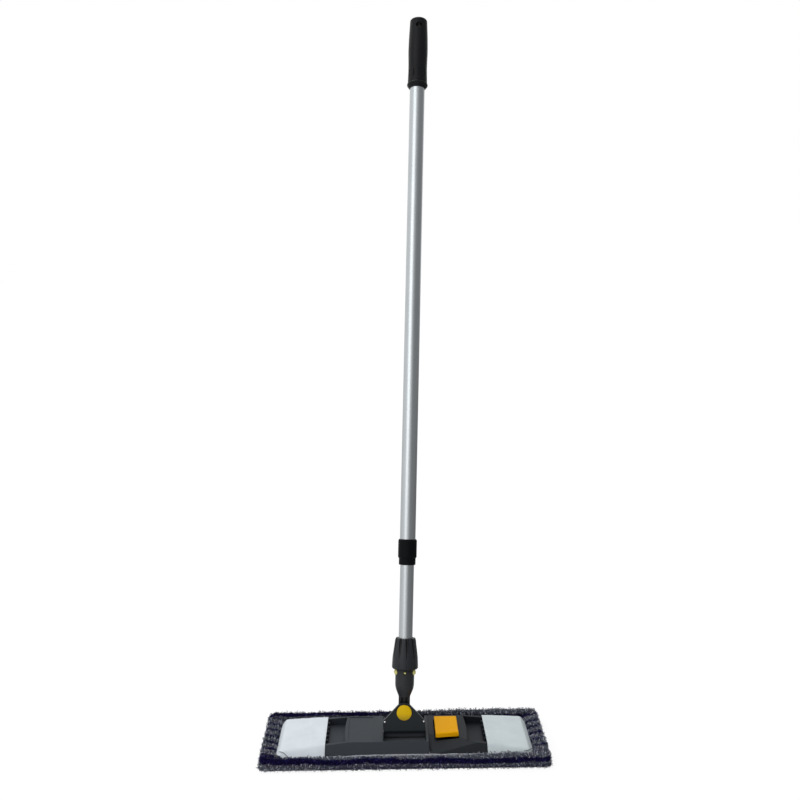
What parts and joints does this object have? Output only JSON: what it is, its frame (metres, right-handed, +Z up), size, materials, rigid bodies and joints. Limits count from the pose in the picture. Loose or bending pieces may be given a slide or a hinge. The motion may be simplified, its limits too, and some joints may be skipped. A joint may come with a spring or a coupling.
{
  "type": "flat mop",
  "caption": "Flat pocket mop: a striped microfibre pad on a folding frame with a foot pedal, a tilting and swinging head joint, and a telescopic handle whose grip has a hanging hole.",
  "frame": {"origin": "on the floor, at the centre of the mop pad", "axes": "+X along the pad to the pedal side, +Y away from the user, +Z up"},
  "size_m": [0.44, 0.3776, 1.1626],
  "materials": {
    "frame_plastic": "satin",
    "black_plastic": "satin",
    "nut_plastic": "satin",
    "grip_plastic": "satin",
    "yellow_plastic": "gloss",
    "stud_plastic": "gloss",
    "nylon": "matte",
    "steel": "satin",
    "magnet": "satin",
    "aluminium": "satin",
    "pile": "matte",
    "pocket_cloth": "matte"
  },
  "bodies": {
    "left_wing": {"left_frame": "frame_plastic", "fold_pin": "steel", "keeper_plate": "steel", "tilt_pin": "steel", "pad_left": "pile", "pad_middle": "pile", "pocket_left": "pocket_cloth"},
    "right_wing": {"right_frame": "frame_plastic", "magnet": "magnet", "pedal_pin": "steel", "pedal_spring": "steel", "pad_right": "pile", "pocket_right": "pocket_cloth"},
    "pedal": {"release_pedal": "yellow_plastic"},
    "head": {"rocker": "black_plastic", "swivel_pin": "steel", "pivot_cap_front": "yellow_plastic", "pivot_cap_back": "yellow_plastic", "friction_washers": "steel"},
    "lower_handle": {"yoke": "black_plastic", "stud_ring": "stud_plastic", "inner_tube": "aluminium", "expander_plug": "nylon", "expander_screw": "steel"},
    "nut": {"clamp_nut": "nut_plastic"},
    "expander": {"expander_sleeve": "nylon"},
    "upper_handle": {"outer_tube": "aluminium", "guide_collar": "black_plastic", "collar_bush": "nylon", "grip": "grip_plastic"}
  },
  "joints": [
    {"name": "rocker_tilt", "type": "hinge", "parent": "left_wing", "child": "head", "pos_m": [0, -0.005, 0.0235], "axis": [1, 0, 0], "range_deg": [-50, 63]},
    {"name": "yoke_swing", "type": "hinge", "parent": "head", "child": "lower_handle", "pos_m": [0, 0.00016, 0.05628], "axis": [0, 0.9659, -0.2588], "range_deg": [-60, 58]},
    {"name": "nut_turn", "type": "hinge", "parent": "lower_handle", "child": "nut", "pos_m": [0.00288, 0.02267, 0.14027], "axis": [0.0332, 0.2587, 0.9654], "range_deg": [0, 270]},
    {"name": "twist_lock", "type": "hinge", "parent": "lower_handle", "child": "expander", "pos_m": [0.0237, 0.18509, 0.74644], "axis": [0.0332, 0.2587, 0.9654], "range_deg": [0, 180]},
    {"name": "telescope", "type": "slide", "parent": "expander", "child": "upper_handle", "axis": [0.0332, 0.2587, 0.9654], "range_m": [-0.11, 0.35]},
    {"name": "wing_fold", "type": "hinge", "parent": "left_wing", "child": "right_wing", "pos_m": [0.037, -0.004, 0.015], "axis": [0, 1, 0], "range_deg": [0, 90], "deforming": ["pad_middle"]},
    {"name": "pedal_press", "type": "hinge", "parent": "right_wing", "child": "pedal", "pos_m": [0.088, -0.006, 0.0225], "axis": [0, -1, 0], "range_deg": [0, 8], "stiffness_Nm_per_rad": 1.2, "springref_deg": -14.32, "deforming": ["pedal_spring"]}
  ]
}
